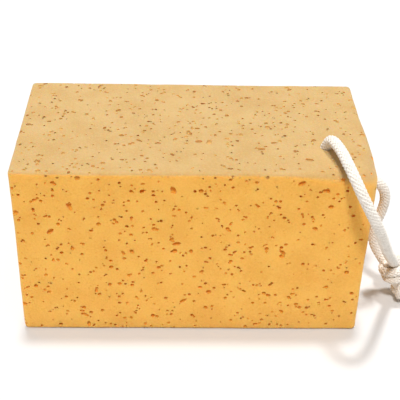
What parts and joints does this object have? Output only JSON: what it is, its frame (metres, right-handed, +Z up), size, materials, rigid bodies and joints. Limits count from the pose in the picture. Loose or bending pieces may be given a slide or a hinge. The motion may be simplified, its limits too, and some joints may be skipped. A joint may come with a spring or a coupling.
{
  "type": "cleaning sponge",
  "caption": "Rectangular block of open-pore foam with a soft cord threaded across one top edge and knotted, to hang it up.",
  "frame": {"origin": "middle of the block's base, on the surface that it stands on", "axes": "+X along the block towards the end with the cord, +Y from the front face to the back face, +Z up"},
  "size_m": [0.262, 0.1236, 0.1242],
  "materials": {
    "foam": "soft open-pore foam, fully matt",
    "cord": "braided soft cotton"
  },
  "bodies": {
    "root": {"sponge_block": "foam", "cord_in_block": "cord", "cord_front_leg": "cord", "cord_side_leg": "cord", "end_knot": "cord", "cord_tails": "cord"}
  },
  "joints": []
}
